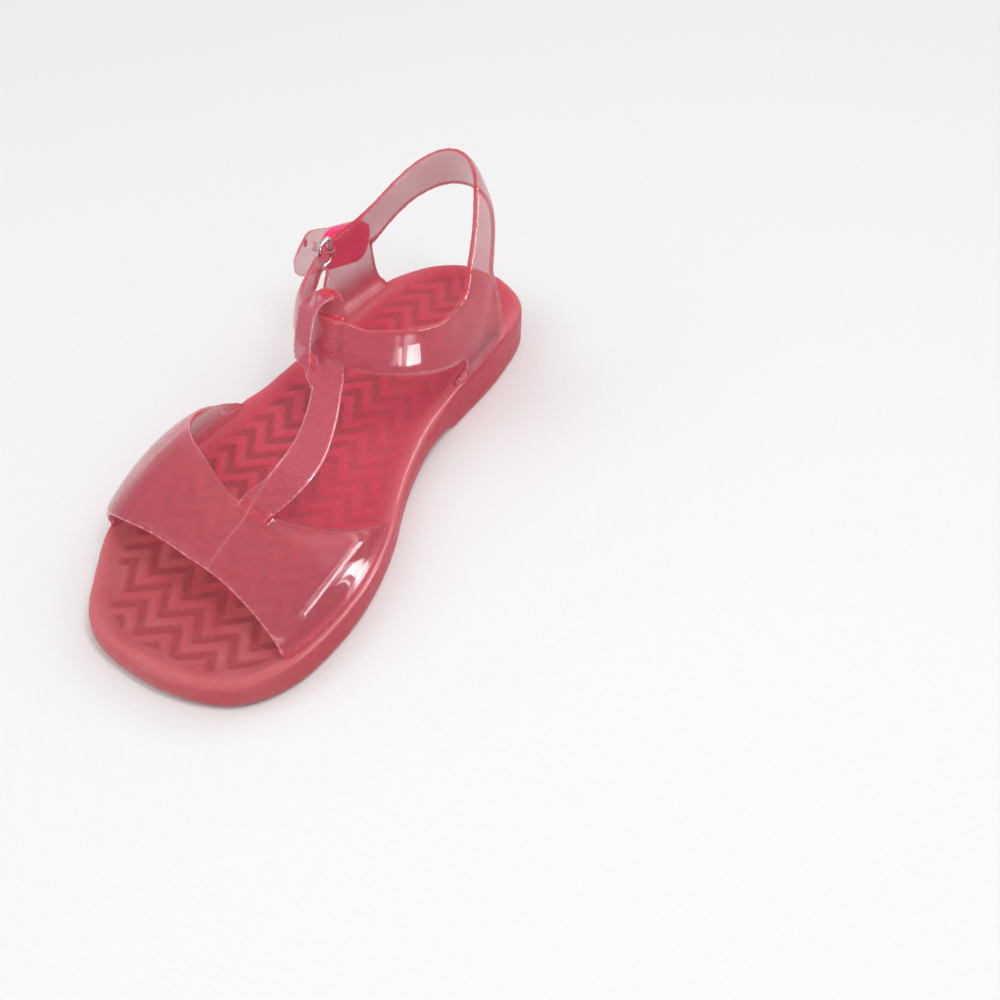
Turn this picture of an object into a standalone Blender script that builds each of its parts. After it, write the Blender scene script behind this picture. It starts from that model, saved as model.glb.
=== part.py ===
"""Toddler T-strap jelly sandal, a right shoe, built as closed solids at real size.

Metres, +Z up. The toe points along -Y, the arch side is +X and the floor is z = 0.
Shares of HALF_WIDTH, HALF_LENGTH and RISE place the points of each table in x, y and z, and z
starts from the footbed.
"""
import math

import bmesh
import bpy
from mathutils import Vector

for old in list(bpy.data.objects):
    bpy.data.objects.remove(old, do_unlink=True)

# Driving sizes
LENGTH = 0.165
BALL_WIDTH = 0.069
BACK_HEIGHT = 0.060
FORE_THICKNESS = 0.007
HEEL_THICKNESS = 0.013
TOE_SPRING = 0.0012
ARCH_LIFT = 0.0020
SOLE_EDGE_RADIUS = 0.0011
FOOTBED_DISH = 0.0006
WALL = 0.0026
TAB_WALL = 0.0016
RIM_WIDTH = 0.0024
RIM_HEIGHT = 0.0018
RIM_SETBACK = 0.0002
RIM_FOOT_INSET = 0.0011
SEAT_GAP = 0.0003
RING_WIRE = 0.0015
RING_HEIGHT = 0.0090
RING_WIDTH = 0.0060
RING_PLAY = 0.00035
EYE_WALL = 0.0007
EYE_HEIGHT = 0.0026
PAD_THICKNESS = 0.00075
PAD_HEIGHT = 0.0122
PAD_LENGTH = 0.0190
PAD_CORNER = 0.0042
PAD_GAP = 0.0003
PAD_SEAT_GAP = 0.00045
TAB_GAP = 0.00065
PAD_SLOPE = -0.30

HALF_LENGTH = LENGTH / 2
HALF_WIDTH = BALL_WIDTH / 2
RISE = BACK_HEIGHT - HEEL_THICKNESS

# Sole outline as (x, y) shares, clockwise from the toe on the arch side
OUTLINE = (
    (0.18, -1.00), (0.70, -0.945), (0.96, -0.80), (1.04, -0.61), (1.02, -0.42), (0.91, -0.22),
    (0.72, -0.01), (0.60, 0.23), (0.61, 0.47), (0.62, 0.66), (0.54, 0.88), (0.29, 0.97),
    (0.01, 1.00), (-0.26, 0.97), (-0.52, 0.86), (-0.64, 0.67), (-0.70, 0.46), (-0.79, 0.22),
    (-0.87, 0.00), (-0.96, -0.22), (-0.98, -0.42), (-0.925, -0.61), (-0.735, -0.79), (-0.425, -0.95),
)

# Underside as (y share, share of TOE_SPRING, share of ARCH_LIFT)
UNDERSIDE = (
    (-1.00, 1.00, 0.0), (-0.92, 0.45, 0.0), (-0.82, 0.10, 0.0), (-0.74, 0.00, 0.0),
    (-0.20, 0.00, 0.0), (-0.08, 0.00, 0.15), (0.10, 0.00, 0.65), (0.22, 0.00, 1.0),
    (0.352, 0.00, 1.0), (0.370, 0.00, 0.0), (1.00, 0.00, 0.0),
)
SOLE_HALF_STATIONS = 36
SOLE_RUNGS = 4

# Strap tables. Each row is one station: the two edges of the outer face as (x, y, z) shares,
# then the crown between them as a share of WALL, then the wall as a share of the piece's own.
# A z of None stands on the rim.
BAND = (
    # front edge               rear edge                  crown  wall
    (-0.925, -0.630, None,     -0.850, 0.045, None,      0.90, 1.00),
    (-0.945, -0.622, 0.076,    -0.930, -0.030, 0.078,    1.00, 1.00),
    (-0.885, -0.640, 0.170,    -0.925, -0.100, 0.169,    1.15, 1.00),
    (-0.755, -0.665, 0.249,    -0.870, -0.180, 0.271,    1.10, 1.00),
    (-0.590, -0.682, 0.294,    -0.780, -0.260, 0.336,    1.00, 1.00),
    (-0.380, -0.692, 0.321,    -0.620, -0.330, 0.372,    0.75, 1.00),
    (-0.200, -0.703, 0.334,    -0.360, -0.395, 0.381,    0.45, 1.00),
    (-0.030, -0.716, 0.339,    -0.100, -0.455, 0.381,    0.38, 1.00),
    (0.160, -0.722, 0.321,     0.130, -0.472, 0.364,     0.35, 1.00),
    (0.320, -0.728, 0.295,     0.310, -0.460, 0.330,     0.42, 1.00),
    (0.465, -0.740, 0.262,     0.450, -0.427, 0.285,     0.60, 1.00),
    (0.595, -0.752, 0.226,     0.580, -0.393, 0.249,     0.85, 1.00),
    (0.725, -0.765, 0.170,     0.705, -0.340, 0.202,     1.15, 1.00),
    (0.840, -0.777, 0.106,     0.800, -0.270, 0.132,     1.50, 1.00),
    (0.895, -0.786, 0.066,     0.835, -0.205, 0.070,     1.45, 1.00),
    (0.905, -0.790, None,      0.785, -0.140, None,      1.90, 1.00),
)
T_STRAP = (
    # outer side edge          arch side edge             crown  wall
    (0.046, -0.558, 0.323,     0.319, -0.558, 0.289,     0.00, 0.35),
    (0.064, -0.503, 0.359,     0.325, -0.503, 0.320,     0.00, 0.80),
    (0.093, -0.451, 0.391,     0.348, -0.461, 0.339,     0.10, 1.00),
    (0.145, -0.395, 0.419,     0.391, -0.407, 0.366,     0.10, 1.00),
    (0.145, -0.315, 0.432,     0.426, -0.327, 0.404,     0.10, 1.00),
    (0.128, -0.242, 0.441,     0.414, -0.250, 0.426,     0.10, 1.00),
    (0.093, -0.170, 0.466,     0.362, -0.176, 0.446,     0.10, 1.00),
    (0.046, -0.109, 0.500,     0.299, -0.103, 0.476,     0.10, 1.00),
    (-0.012, -0.048, 0.525,    0.229, -0.040, 0.505,     0.10, 1.00),
    (-0.075, 0.012, 0.534,     0.165, 0.019, 0.524,      0.10, 0.90),
    (-0.162, 0.061, 0.539,     0.096, 0.061, 0.534,      0.10, 0.80),
    (-0.214, 0.092, 0.566,     0.061, 0.090, 0.561,      0.10, 0.80),
    (-0.232, 0.107, 0.654,     0.052, 0.104, 0.654,      0.10, 0.80),
    (-0.232, 0.120, 0.759,     0.052, 0.118, 0.759,      0.10, 0.80),
    (-0.220, 0.130, 0.835,     0.043, 0.128, 0.835,      0.10, 0.80),
    (-0.191, 0.136, 0.890,     0.014, 0.135, 0.890,      0.10, 0.80),
    (-0.145, 0.137, 0.919,     -0.035, 0.136, 0.919,     0.10, 0.70),
)
KEEPER = (
    # outer side edge          arch side edge             crown  wall
    (-0.014, -0.055, 0.503,    0.093, -0.039, 0.510,     0.00, 0.60),
    (-0.128, -0.015, 0.527,    0.000, -0.007, 0.532,     0.00, 0.80),
    (-0.249, 0.017, 0.569,     -0.081, 0.006, 0.567,     0.00, 0.80),
    (-0.264, 0.035, 0.678,     -0.099, 0.022, 0.680,     0.00, 0.80),
    (-0.264, 0.056, 0.790,     -0.099, 0.042, 0.793,     0.00, 0.80),
    (-0.255, 0.078, 0.857,     -0.087, 0.068, 0.867,     0.00, 0.80),
    (-0.214, 0.109, 0.876,     -0.041, 0.102, 0.884,     0.00, 0.80),
    (-0.174, 0.138, 0.855,     -0.023, 0.136, 0.864,     0.00, 0.60),
)
COLLAR = (
    # lower edge               upper edge                 crown  wall
    (-0.736, 0.428, 0.483,     -0.733, 0.428, 0.583,     0.00, 1.00),
    (-0.733, 0.400, 0.451,     -0.719, 0.402, 0.610,     0.00, 1.00),
    (-0.716, 0.364, 0.424,     -0.687, 0.367, 0.634,     0.00, 1.00),
    (-0.672, 0.291, 0.416,     -0.629, 0.295, 0.656,     0.10, 1.00),
    (-0.614, 0.218, 0.427,     -0.562, 0.224, 0.685,     0.10, 1.00),
    (-0.528, 0.153, 0.456,     -0.478, 0.167, 0.722,     0.10, 1.00),
    (-0.403, 0.095, 0.508,     -0.365, 0.121, 0.766,     0.10, 0.95),
    (-0.246, 0.056, 0.553,     -0.232, 0.090, 0.802,     0.10, 0.90),
    (-0.075, 0.039, 0.570,     -0.067, 0.076, 0.819,     0.10, 0.90),
    (0.101, 0.036, 0.570,      0.101, 0.073, 0.819,      0.10, 0.95),
    (0.272, 0.058, 0.546,      0.261, 0.087, 0.796,      0.10, 1.00),
    (0.423, 0.109, 0.494,      0.406, 0.137, 0.766,      0.10, 1.00),
    (0.571, 0.182, 0.438,      0.542, 0.198, 0.732,      0.10, 1.00),
    (0.664, 0.279, 0.361,      0.623, 0.285, 0.679,      0.10, 1.00),
    (0.696, 0.376, 0.307,      0.612, 0.382, 0.638,      0.20, 1.00),
    (0.684, 0.461, 0.287,      0.568, 0.473, 0.624,      0.30, 1.00),
    (0.635, 0.558, 0.343,      0.501, 0.553, 0.705,      0.30, 1.00),
    (0.562, 0.648, 0.445,      0.423, 0.640, 0.824,      0.30, 1.00),
    (0.481, 0.727, 0.544,      0.342, 0.709, 0.920,      0.20, 1.00),
    (0.374, 0.812, 0.646,      0.243, 0.781, 0.983,      0.10, 1.00),
    (0.226, 0.880, 0.715,      0.104, 0.836, 1.015,      0.10, 1.00),
    (0.029, 0.913, 0.736,      -0.064, 0.863, 1.013,     0.10, 1.00),
    (-0.174, 0.912, 0.710,     -0.238, 0.858, 0.966,     0.10, 1.00),
    (-0.359, 0.885, 0.646,     -0.394, 0.819, 0.889,     0.10, 1.00),
    (-0.522, 0.838, 0.547,     -0.528, 0.762, 0.777,     0.10, 1.00),
    (-0.632, 0.773, 0.428,     -0.635, 0.696, 0.660,     0.20, 1.00),
    (-0.710, 0.701, 0.330,     -0.728, 0.628, 0.579,     0.10, 1.00),
    (-0.759, 0.600, 0.326,     -0.762, 0.564, 0.534,     0.10, 0.70),
)
OUTER_QUARTER = (
    # front edge               rear edge                  crown  wall
    (-0.730, 0.400, None,      -0.588, 0.739, None,      0.00, 1.00),
    (-0.783, 0.422, 0.095,     -0.672, 0.732, 0.064,     0.15, 1.00),
    (-0.809, 0.463, 0.204,     -0.701, 0.721, 0.192,     0.10, 1.00),
    (-0.812, 0.497, 0.316,     -0.716, 0.719, 0.320,     0.10, 1.00),
    (-0.803, 0.512, 0.442,     -0.719, 0.718, 0.447,     0.10, 1.00),
    (-0.786, 0.516, 0.560,     -0.707, 0.691, 0.567,     0.10, 0.90),
)
INNER_QUARTER = (
    # front edge               rear edge                  crown  wall
    (0.559, 0.400, None,       0.580, 0.667, None,       0.00, 1.00),
    (0.649, 0.410, 0.097,      0.643, 0.673, 0.086,      0.00, 1.00),
    (0.690, 0.405, 0.204,      0.643, 0.673, 0.214,      0.00, 1.00),
    (0.707, 0.388, 0.296,      0.606, 0.679, 0.353,      -0.10, 1.00),
    (0.664, 0.370, 0.401,      0.516, 0.691, 0.500,      0.00, 0.90),
    (0.626, 0.364, 0.508,      0.452, 0.697, 0.628,      0.00, 0.70),
)
CLOSING_TAB = (
    # lower edge               upper edge                 crown  wall
    (-0.930, 0.406, 0.427,     -0.930, 0.406, 0.503,     0.00, 0.70),
    (-0.933, 0.421, 0.382,     -0.933, 0.428, 0.542,     0.00, 1.00),
    (-0.933, 0.458, 0.333,     -0.933, 0.464, 0.579,     0.00, 1.00),
    (-0.928, 0.513, 0.286,     -0.930, 0.507, 0.600,     0.00, 1.00),
    (-0.904, 0.585, 0.232,     -0.904, 0.592, 0.526,     0.00, 1.00),
    (-0.875, 0.658, 0.191,     -0.875, 0.664, 0.481,     0.00, 1.00),
    (-0.849, 0.725, 0.186,     -0.849, 0.731, 0.436,     0.00, 1.00),
    (-0.835, 0.761, 0.224,     -0.835, 0.764, 0.394,     0.00, 1.00),
    (-0.826, 0.779, 0.288,     -0.826, 0.779, 0.351,     0.00, 0.70),
)
# The pads' middle: its share along the outer quarter's face, and its height as a share
PAD_ALONG = 0.574
PAD_LEVEL = 0.380
RIBBON_STEPS = 2
RIBBON_RUNGS = 4
EDGE_ROUND = 0.3


def blend(rows, t):
    """Catmull-Rom value of a list of equal-length rows at t, where whole numbers are rows."""
    i = min(int(t), len(rows) - 2)
    f = t - i
    before, here, after, last = (rows[min(max(j, 0), len(rows) - 1)] for j in (i - 1, i, i + 1, i + 2))
    return [
        0.5 * (2 * b + (c - a) * f + (2 * a - 5 * b + 4 * c - d) * f * f + (3 * b - a - 3 * c + d) * f ** 3)
        for a, b, c, d in zip(before, here, after, last)
    ]


def profile(table, y):
    """Straight-line values of a table, whose first column is a y share, at y in metres."""
    share = min(max(y / HALF_LENGTH, table[0][0]), table[-1][0])
    for low, high in zip(table, table[1:]):
        if share <= high[0]:
            f = (share - low[0]) / (high[0] - low[0])
            return [a + (b - a) * f for a, b in zip(low[1:], high[1:])]
    return list(table[-1][1:])


def smoothstep(f):
    f = min(max(f, 0.0), 1.0)
    return f * f * (3 - 2 * f)


def deck(y):
    """Height of the footbed at y, from the forefoot up to the heel."""
    rise = (HEEL_THICKNESS - FORE_THICKNESS) * smoothstep((y / HALF_LENGTH + 0.24) / 0.97)
    spring, _ = profile(UNDERSIDE, y)
    return FORE_THICKNESS + rise + 0.4 * spring * TOE_SPRING


def floor_side(y):
    """Height of the sole's underside at y."""
    spring, arch = profile(UNDERSIDE, y)
    return spring * TOE_SPRING + arch * ARCH_LIFT


def side_x(side, y):
    """Where one side of the outline stands at y."""
    for (x0, y0), (x1, y1) in zip(side, side[1:]):
        if min(y0, y1) <= y <= max(y0, y1) and y0 != y1:
            return x0 + (x1 - x0) * (y - y0) / (y1 - y0)
    return side[-1][0]


def outline_sides():
    """The outer side and the arch side of the sole outline as fine lines, toe and heel in both."""
    closed = OUTLINE[-1:] + OUTLINE + OUTLINE[:2]
    fine = []
    for i in range(len(OUTLINE) * 12):
        x, y = blend(closed, 1 + i / 12)
        fine.append((x * HALF_WIDTH, y * HALF_LENGTH))
    toe = min(fine, key=lambda p: p[1])
    heel = max(fine, key=lambda p: p[1])
    start, stop = fine.index(heel), fine.index(toe)
    turned = fine[start:] + fine[:start]
    cut = (stop - start) % len(fine)
    return turned[:cut + 1], turned[cut:] + turned[:1]


def outline_loop(outer, arch):
    """Points of the sole outline, toe first, then the outer side, heel and arch side, paired in y."""
    toe, heel = outer[-1], outer[0]
    levels = [-math.cos(math.pi * k / SOLE_HALF_STATIONS) for k in range(1, SOLE_HALF_STATIONS)]
    levels = [s for s in levels if all(abs(s - row[0]) > 0.012 for row in UNDERSIDE[7:10])]
    levels = sorted(levels + [row[0] for row in UNDERSIDE[8:10]])
    mid = 0.5 * (toe[1] + heel[1])
    half = 0.5 * (heel[1] - toe[1])
    ys = [mid + s * half for s in levels]
    loop = [toe] + [(side_x(outer, y), y) for y in ys] + [heel] + [(side_x(arch, y), y) for y in reversed(ys)]
    return [Vector((x, y, 0.0)) for x, y in loop]


def inset(loop, distance):
    """A loop moved inward by a distance along its own normals."""
    moved = []
    for i, point in enumerate(loop):
        along = loop[(i + 1) % len(loop)] - loop[i - 1]
        inward = Vector((along.y, -along.x, 0.0)).normalized()
        moved.append(point + inward * distance)
    return moved


def new_solid(name, verts, faces):
    """A mesh object from points and faces, triangulated, with its normals outward."""
    mesh = bpy.data.meshes.new(name)
    mesh.from_pydata([tuple(v) for v in verts], [], faces)
    tidy = bmesh.new()
    tidy.from_mesh(mesh)
    bmesh.ops.remove_doubles(tidy, verts=tidy.verts, dist=1e-7)
    bmesh.ops.triangulate(tidy, faces=tidy.faces)
    bmesh.ops.recalc_face_normals(tidy, faces=tidy.faces)
    tidy.to_mesh(mesh)
    tidy.free()
    solid = bpy.data.objects.new(name, mesh)
    bpy.context.scene.collection.objects.link(solid)
    return solid


def loft(name, loops, closed=False):
    """A solid skinned over equal-length loops, capped at both ends unless closed round."""
    size = len(loops[0])
    verts = [v for loop in loops for v in loop]
    faces = []
    pairs = len(loops) if closed else len(loops) - 1
    for r in range(pairs):
        a = r * size
        b = ((r + 1) % len(loops)) * size
        faces += [(a + k, a + (k + 1) % size, b + (k + 1) % size, b + k) for k in range(size)]
    if not closed:
        faces.append(tuple(range(size)))
        faces.append(tuple((len(loops) - 1) * size + k for k in range(size)))
    return new_solid(name, verts, faces)


def joined(name, pieces):
    """All pieces as one solid, under the first one's place in the scene."""
    base = pieces[0]
    for piece in pieces[1:]:
        union = base.modifiers.new("join", "BOOLEAN")
        union.operation = "UNION"
        union.solver = "EXACT"
        union.object = piece
    return applied(name, base, pieces[1:])


def carved(name, base, cutters):
    """A solid with the cutters taken out of it."""
    for cutter in cutters:
        cut = base.modifiers.new("cut", "BOOLEAN")
        cut.operation = "DIFFERENCE"
        cut.solver = "EXACT"
        cut.object = cutter
    return applied(name, base, cutters)


def applied(name, base, spent):
    """The base with its modifiers baked into a clean mesh, and the spent operands removed."""
    bpy.context.view_layer.update()
    mesh = bpy.data.meshes.new_from_object(base.evaluated_get(bpy.context.evaluated_depsgraph_get()))
    base.modifiers.clear()
    base.data = mesh
    tidy = bmesh.new()
    tidy.from_mesh(mesh)
    bmesh.ops.remove_doubles(tidy, verts=tidy.verts, dist=2e-6)
    bmesh.ops.dissolve_degenerate(tidy, edges=tidy.edges, dist=2e-6)
    bmesh.ops.triangulate(tidy, faces=tidy.faces)
    bmesh.ops.recalc_face_normals(tidy, faces=tidy.faces)
    tidy.to_mesh(mesh)
    tidy.free()
    for piece in spent:
        bpy.data.objects.remove(piece, do_unlink=True)
    base.name = name
    mesh.name = name
    return base


def foot_line(side, y):
    """Where a strap stands on the rim at y: a point well inside the outline of that side."""
    x = side_x(arch_line if side > 0 else outer_line, y)
    return Vector((x - side * RIM_FOOT_INSET, y, deck(y) + SEAT_GAP + 0.25 * RIM_HEIGHT))


def strap_row(row, wall, rungs, before, after):
    """Points across the outer face of one station, its wall, and its crown in the middle."""
    ax, ay, az, bx, by, bz, crown, share = row
    wall_here = share * wall
    if az is None:
        side = 1 if ax > 0 else -1
        reach = abs(by - ay) * HALF_LENGTH
        edge = EDGE_ROUND * wall_here / reach
        shares = edge_shares(edge, rungs)
        return [foot_line(side, (ay + (by - ay) * s) * HALF_LENGTH) for s in shares], wall_here
    low, high = seated(ax, ay, az), seated(bx, by, bz)
    across = high - low
    shares = edge_shares(EDGE_ROUND * wall_here / across.length, rungs)
    out = across.cross(after - before).normalized()
    return [low + across * s + out * (4 * s * (1 - s) * crown * WALL) for s in shares], wall_here


def edge_shares(edge, rungs):
    """Shares across a strap, with a narrow strip at each edge for its rounding."""
    return [0.0] + [edge + (1 - 2 * edge) * k / rungs for k in range(rungs + 1)] + [1.0]


def seated(x, y, z):
    """A point from a table's shares, its height measured from the footbed below it."""
    return Vector((x * HALF_WIDTH, y * HALF_LENGTH, deck(y * HALF_LENGTH) + z * RISE))


def ribbon(name, table, wall, outward, steps=RIBBON_STEPS, rungs=RIBBON_RUNGS):
    """A strap with rounded edges between the two edge lines of its table.

    outward is 1 where the edge-to-edge direction crossed with the way along points off the foot.
    """
    def middle(row):
        if row[2] is None:
            side = 1 if row[0] > 0 else -1
            return foot_line(side, (row[1] + row[4]) / 2 * HALF_LENGTH)
        return (seated(*row[0:3]) + seated(*row[3:6])) / 2

    middles = [middle(row) for row in table]
    coarse = []
    for i, row in enumerate(table):
        before, after = middles[max(i - 1, 0)], middles[min(i + 1, len(table) - 1)]
        flip = (before, after) if outward > 0 else (after, before)
        points, wall_here = strap_row(row, wall, rungs, *flip)
        coarse.append([c for point in points for c in point] + [wall_here])
    count = (len(coarse) - 1) * steps
    grid, walls = [], []
    for i in range(count + 1):
        values = blend(coarse, i / steps)
        grid.append([Vector(values[c:c + 3]) for c in range(0, len(values) - 1, 3)])
        walls.append(values[-1])
    loops = []
    for i, points in enumerate(grid):
        after, before = grid[min(i + 1, count)], grid[max(i - 1, 0)]
        face, back = [], []
        for k, point in enumerate(points):
            along = after[k] - before[k]
            across = points[min(k + 1, len(points) - 1)] - points[max(k - 1, 0)]
            out = across.cross(along) * outward
            if i == 0 and table[0][2] is None or i == count and table[-1][2] is None:
                out.z = 0.0
            out.normalize()
            shallow = EDGE_ROUND * walls[i] if k in (0, len(points) - 1) else 0.0
            face.append(point - out * shallow)
            back.append(point - out * (walls[i] - shallow))
        loops.append(face + back[::-1])
    return loft(name, loops)


def build_sole(loop):
    """The moulded footbed and outsole: edge loops from the underside up, rungs across both faces."""
    radius = SOLE_EDGE_RADIUS

    def level(distance, height):
        return [Vector((p.x, p.y, height(p.y))) for p in inset(loop, distance)]

    rings = [
        level(radius, floor_side),
        level(0.3 * radius, lambda y: floor_side(y) + 0.3 * radius),
        level(0.0, lambda y: floor_side(y) + radius),
        level(0.0, lambda y: deck(y) - radius),
        level(0.3 * radius, lambda y: deck(y) - 0.3 * radius),
        level(radius, deck),
        level(RIM_WIDTH + 2 * RIM_SETBACK, deck),
    ]
    size = len(loop)
    verts = [v for ring in rings for v in ring]
    faces = []
    for r in range(len(rings) - 1):
        a, b = r * size, (r + 1) * size
        faces += [(a + k, a + (k + 1) % size, b + (k + 1) % size, b + k) for k in range(size)]
    half = size // 2
    top = (len(rings) - 1) * size

    def rung(base, k, parts, dish):
        left, right = base + k, base + (size - k) % size
        row = [left]
        for j in range(1, parts):
            f = j / parts
            point = verts[left].lerp(verts[right], f)
            point.z -= dish * min(1.0, 2.2 * min(f, 1 - f))
            verts.append(point)
            row.append(len(verts) - 1)
        return row + [right]

    for base, parts, dish in ((0, 1, 0.0), (top, SOLE_RUNGS, FOOTBED_DISH)):
        rows = [rung(base, k, parts, dish) for k in range(1, half)]
        for low, high in zip(rows, rows[1:]):
            faces += [(low[j], low[j + 1], high[j + 1], high[j]) for j in range(parts)]
        faces.append(tuple(rows[0]) + (base,))
        faces.append(tuple(rows[-1]) + (base + half,))
    return new_solid("sole", verts, faces)


def build_rim(loop):
    """The narrow raised lip round the footbed, which joins the feet of all straps."""
    outer, inner = RIM_SETBACK, RIM_SETBACK + RIM_WIDTH
    shape = (
        (outer, 0.0), (outer, 0.6), (outer + 0.2 * RIM_WIDTH, 1.0),
        (inner - 0.25 * RIM_WIDTH, 1.0), (inner, 0.6), (inner, 0.0),
    )
    rings = []
    for distance, share in shape:
        ring = inset(loop, distance)
        rings.append([Vector((p.x, p.y, deck(p.y) + SEAT_GAP + share * RIM_HEIGHT)) for p in ring])
    return loft("rim", rings, closed=True)


def oval_path(width, height, corner, parts):
    """Points of a rounded rectangle in (across, up), centred on nothing."""
    points = []
    for quarter in range(4):
        cx = (width / 2 - corner) * (1 if quarter in (0, 3) else -1)
        cz = (height / 2 - corner) * (1 if quarter in (0, 1) else -1)
        for j in range(parts + 1):
            angle = math.pi / 2 * (quarter + j / parts)
            points.append((cx + corner * math.cos(angle), cz + corner * math.sin(angle)))
    return points


def build_ring(centre, along):
    """A bent wire ring standing up, flat in the plane of up and along."""
    up = Vector((0, 0, 1))
    side = along.cross(up).normalized()
    wire = RING_WIRE / 2
    path = oval_path(RING_WIDTH - RING_WIRE, RING_HEIGHT - RING_WIRE, (RING_WIDTH - RING_WIRE) / 2 * 0.45, 5)
    loops = []
    for i, (a, z) in enumerate(path):
        a1, z1 = path[(i + 1) % len(path)]
        a0, z0 = path[i - 1]
        tangent = (along * (a1 - a0) + up * (z1 - z0)).normalized()
        outward = side.cross(tangent)
        middle = centre + along * a + up * z
        turn = [2 * math.pi * k / 8 for k in range(8)]
        loops.append([middle + (side * math.cos(t) + outward * math.sin(t)) * wire for t in turn])
    return loft("ring", loops, closed=True)


def rod(name, centre, axis, radius, length, parts=12):
    """A straight round bar about a centre."""
    side = axis.orthogonal().normalized()
    other = axis.cross(side)
    turn = [2 * math.pi * k / parts for k in range(parts)]
    circle = [(side * math.cos(t) + other * math.sin(t)) * radius for t in turn]
    ends = [centre + axis * (length * s) for s in (-0.5, 0.5)]
    return loft(name, [[end + c for c in circle] for end in ends])


def bar(name, centre, size):
    """A straight block about a centre."""
    half = size / 2
    corners = ((-1, -1), (1, -1), (1, 1), (-1, 1))
    ends = [[centre + Vector((half.x * sx, half.y * a, half.z * b)) for a, b in corners] for sx in (-1, 1)]
    return loft(name, ends)


def build_pad(name, centre, along, up, out, thickness):
    """A flat pad with round corners, its face on the centre and its depth along out."""
    path = oval_path(PAD_LENGTH, PAD_HEIGHT, PAD_CORNER, 4)
    face = [centre + along * a + up * z for a, z in path]
    return loft(name, [face, [p + out * thickness for p in face]])


def dress(solid, colour, roughness, metallic=0.0, alpha=1.0, smooth=True):
    """Gives a solid its own material under its own name."""
    finish = bpy.data.materials.new(solid.name)
    finish.use_nodes = True
    shader = finish.node_tree.nodes["Principled BSDF"]
    shader.inputs["Base Color"].default_value = (*colour, 1.0)
    shader.inputs["Roughness"].default_value = roughness
    shader.inputs["Metallic"].default_value = metallic
    shader.inputs["Alpha"].default_value = alpha
    solid.data.materials.clear()
    solid.data.materials.append(finish)
    for polygon in solid.data.polygons:
        polygon.use_smooth = smooth


outer_line, arch_line = outline_sides()
edge_loop = outline_loop(outer_line, arch_line)
sole = build_sole(edge_loop)

# The ring hangs on the eye at the ankle strap's narrowed end and carries the closing tab's lug
UP = Vector((0.0, 0.0, 1.0))
BACK = Vector((0.0, 1.0, 0.0))
bar_gap = RING_WIDTH - RING_WIRE
eye_bore = RING_WIRE / 2 + RING_PLAY
eye_radius = eye_bore + EYE_WALL
strap_end = (seated(*COLLAR[0][:3]) + seated(*COLLAR[0][3:6])) / 2
eye_centre = strap_end + Vector((0.4 * WALL, 0.2 * EYE_WALL, 0.0))
ring_centre = eye_centre + BACK * bar_gap / 2 + UP * (0.17 * RING_HEIGHT)
lug_centre = ring_centre + BACK * bar_gap / 2 - UP * (0.14 * RING_HEIGHT)

# The pads lie between the outer quarter and the closing tab, along the quarter and down the tab's slope
quarter_row = OUTER_QUARTER[3]
quarter_front, quarter_rear = seated(*quarter_row[:3]), seated(*quarter_row[3:6])
quarter_along = (quarter_rear - quarter_front) * Vector((1.0, 1.0, 0.0))
quarter_along.normalize()
pad_out = UP.cross(quarter_along)
pad_along = (quarter_along + UP * PAD_SLOPE).normalized()
pad_up = pad_along.cross(pad_out)
pad_centre = quarter_front.lerp(quarter_rear, PAD_ALONG) + pad_out * (quarter_row[6] * WALL + PAD_SEAT_GAP)
pad_centre.z = deck(pad_centre.y) + PAD_LEVEL * RISE
hook_start = pad_centre + pad_out * (PAD_THICKNESS + PAD_GAP)

# The closing tab stands off the hook pad, whatever the ball width and the pads are
tab_before, tab_after = seated(*CLOSING_TAB[4][:3]), seated(*CLOSING_TAB[5][:3])
tab_share = (pad_centre.y - tab_before.y) / (tab_after.y - tab_before.y)
tab_face = (hook_start + pad_out * (PAD_THICKNESS + TAB_GAP)).x - TAB_WALL
tab_shift = (tab_face - tab_before.lerp(tab_after, tab_share).x) / HALF_WIDTH
tab_table = [(r[0] + tab_shift, *r[1:3], r[3] + tab_shift, *r[4:]) for r in CLOSING_TAB]
tab_inner = seated(*tab_table[3][:3]).x + TAB_WALL

upper = joined("upper", [
    build_rim(edge_loop),
    ribbon("band", BAND, WALL, -1, rungs=6),
    ribbon("t_strap", T_STRAP, WALL, -1),
    ribbon("keeper", KEEPER, WALL, -1),
    ribbon("outer_quarter", OUTER_QUARTER, WALL, -1, rungs=5),
    ribbon("inner_quarter", INNER_QUARTER, WALL, 1, rungs=5),
    ribbon("collar", COLLAR, WALL, -1),
    rod("eye", eye_centre, UP, eye_radius, EYE_HEIGHT),
])
upper = carved("upper", upper, [rod("bore", eye_centre, UP, eye_bore, 2 * RING_HEIGHT)])

web = Vector((0.5 * (tab_inner - 0.5 * TAB_WALL + lug_centre.x), lug_centre.y, lug_centre.z))
closing_tab = joined("closing_tab", [
    ribbon("flap", tab_table, TAB_WALL, 1),
    bar("web", web, Vector((abs(tab_inner - 0.5 * TAB_WALL - lug_centre.x), eye_radius, 0.9 * EYE_HEIGHT))),
    rod("lug", lug_centre, UP, eye_radius, EYE_HEIGHT),
])
closing_tab = carved("closing_tab", closing_tab, [rod("bore", lug_centre, UP, eye_bore, 2 * RING_HEIGHT)])
ring = build_ring(ring_centre, BACK)

loop_pad = build_pad("loop_pad", pad_centre, pad_along, pad_up, pad_out, PAD_THICKNESS)
hook_pad = build_pad("hook_pad", hook_start, pad_along, pad_up, pad_out, PAD_THICKNESS)

dress(sole, (0.80, 0.16, 0.25), 0.30)
dress(upper, (0.85, 0.25, 0.38), 0.20)
dress(closing_tab, (0.85, 0.25, 0.38), 0.20)
dress(ring, (0.75, 0.75, 0.72), 0.20, metallic=1.0)
dress(loop_pad, (0.90, 0.05, 0.30), 0.9)
dress(hook_pad, (0.90, 0.05, 0.30), 0.9)
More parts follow.
